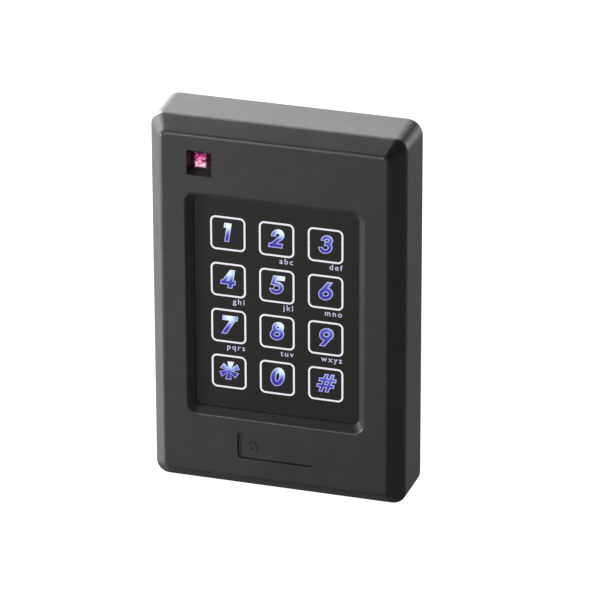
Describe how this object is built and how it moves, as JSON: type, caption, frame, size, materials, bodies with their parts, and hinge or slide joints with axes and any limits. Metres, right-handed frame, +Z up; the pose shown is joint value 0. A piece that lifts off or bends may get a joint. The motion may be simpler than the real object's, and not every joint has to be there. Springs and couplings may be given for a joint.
{
  "type": "keypad access reader",
  "caption": "Wall-mounted keypad access reader: bevelled case with a sunk backlit telephone keypad, a square status light and a hooked wall plate.",
  "frame": {"origin": "centre of the wall plate's back face, which lies on the wall", "axes": "+X to the right seen from the front, +Y into the wall (the front faces -Y), +Z up"},
  "size_m": [0.1006, 0.0254, 0.1512],
  "materials": {
    "case_abs": "fine spark-eroded texture, charcoal",
    "panel_black": "semi-gloss black",
    "key_black": "semi-gloss black with printed outlines and lit digits",
    "foam_black": "closed-cell foam",
    "lens_red": "faceted red lens, lit from behind",
    "led_body": "white package with a clear window",
    "board_green": "solder mask over woven glass laminate",
    "film_clear": "thin polyester film",
    "spring_steel": "stainless domes",
    "copper_wire": "enamelled copper winding",
    "chip_black": "moulded epoxy",
    "crystal_can": "plated can",
    "capacitor_sleeve": "shrink sleeve",
    "terminal_green": "glass-filled nylon",
    "screw_steel": "zinc plated",
    "plate_steel": "zinc-plated sheet",
    "cover_abs": "moulded, fine texture",
    "switch_white": "acetal"
  },
  "bodies": {
    "base": {"wall_plate": "plate_steel", "lock_screw": "screw_steel"},
    "reader": {"front_housing": "case_abs", "keypad_gasket": "foam_black", "keypad_faceplate": "panel_black", "light_lens": "lens_red", "status_led": "led_body", "badge_plate": "case_abs", "main_board": "board_green", "dome_film": "film_clear", "snap_domes": "spring_steel", "backlight_leds": "led_body", "antenna_coil": "copper_wire", "microcontroller": "chip_black", "reader_chip": "chip_black", "crystal": "crystal_can", "voltage_regulator": "chip_black", "capacitors": "capacitor_sleeve", "surge_suppressors": "chip_black", "buzzer": "chip_black", "tamper_switch": "chip_black", "terminal_block": "terminal_green", "terminal_screws": "screw_steel", "board_screws": "screw_steel", "rear_cover": "cover_abs", "cover_screws": "screw_steel"},
    "tamper": {"tamper_plunger": "switch_white"},
    "key_1": {"key_1": "key_black"},
    "key_2": {"key_2": "key_black"},
    "key_3": {"key_3": "key_black"},
    "key_4": {"key_4": "key_black"},
    "key_5": {"key_5": "key_black"},
    "key_6": {"key_6": "key_black"},
    "key_7": {"key_7": "key_black"},
    "key_8": {"key_8": "key_black"},
    "key_9": {"key_9": "key_black"},
    "key_star": {"key_star": "key_black"},
    "key_0": {"key_0": "key_black"},
    "key_hash": {"key_hash": "key_black"}
  },
  "joints": [
    {"name": "reader_swing", "type": "hinge", "parent": "base", "child": "reader", "pos_m": [0, -0.0035, 0.0706], "axis": [-1, 0, 0], "range_deg": [0, 12]},
    {"name": "tamper_slide", "type": "slide", "parent": "reader", "child": "tamper", "axis": [0, 1, 0], "range_m": [0, 0.0015]},
    {"name": "key_1_press", "type": "slide", "parent": "reader", "child": "key_1", "axis": [0, 1, 0], "range_m": [0, 0.0005], "stiffness_N_per_m": 1500, "springref_m": -0.0001, "deforming": ["snap_domes"]},
    {"name": "key_2_press", "type": "slide", "parent": "reader", "child": "key_2", "axis": [0, 1, 0], "range_m": [0, 0.0005], "stiffness_N_per_m": 1500, "springref_m": -0.0001, "deforming": ["snap_domes"]},
    {"name": "key_3_press", "type": "slide", "parent": "reader", "child": "key_3", "axis": [0, 1, 0], "range_m": [0, 0.0005], "stiffness_N_per_m": 1500, "springref_m": -0.0001, "deforming": ["snap_domes"]},
    {"name": "key_4_press", "type": "slide", "parent": "reader", "child": "key_4", "axis": [0, 1, 0], "range_m": [0, 0.0005], "stiffness_N_per_m": 1500, "springref_m": -0.0001, "deforming": ["snap_domes"]},
    {"name": "key_5_press", "type": "slide", "parent": "reader", "child": "key_5", "axis": [0, 1, 0], "range_m": [0, 0.0005], "stiffness_N_per_m": 1500, "springref_m": -0.0001, "deforming": ["snap_domes"]},
    {"name": "key_6_press", "type": "slide", "parent": "reader", "child": "key_6", "axis": [0, 1, 0], "range_m": [0, 0.0005], "stiffness_N_per_m": 1500, "springref_m": -0.0001, "deforming": ["snap_domes"]},
    {"name": "key_7_press", "type": "slide", "parent": "reader", "child": "key_7", "axis": [0, 1, 0], "range_m": [0, 0.0005], "stiffness_N_per_m": 1500, "springref_m": -0.0001, "deforming": ["snap_domes"]},
    {"name": "key_8_press", "type": "slide", "parent": "reader", "child": "key_8", "axis": [0, 1, 0], "range_m": [0, 0.0005], "stiffness_N_per_m": 1500, "springref_m": -0.0001, "deforming": ["snap_domes"]},
    {"name": "key_9_press", "type": "slide", "parent": "reader", "child": "key_9", "axis": [0, 1, 0], "range_m": [0, 0.0005], "stiffness_N_per_m": 1500, "springref_m": -0.0001, "deforming": ["snap_domes"]},
    {"name": "key_star_press", "type": "slide", "parent": "reader", "child": "key_star", "axis": [0, 1, 0], "range_m": [0, 0.0005], "stiffness_N_per_m": 1500, "springref_m": -0.0001, "deforming": ["snap_domes"]},
    {"name": "key_0_press", "type": "slide", "parent": "reader", "child": "key_0", "axis": [0, 1, 0], "range_m": [0, 0.0005], "stiffness_N_per_m": 1500, "springref_m": -0.0001, "deforming": ["snap_domes"]},
    {"name": "key_hash_press", "type": "slide", "parent": "reader", "child": "key_hash", "axis": [0, 1, 0], "range_m": [0, 0.0005], "stiffness_N_per_m": 1500, "springref_m": -0.0001, "deforming": ["snap_domes"]}
  ],
  "couplings": [
    {"joint": "tamper_slide", "follows": "reader_swing", "m_per_rad": 0.00668}
  ]
}
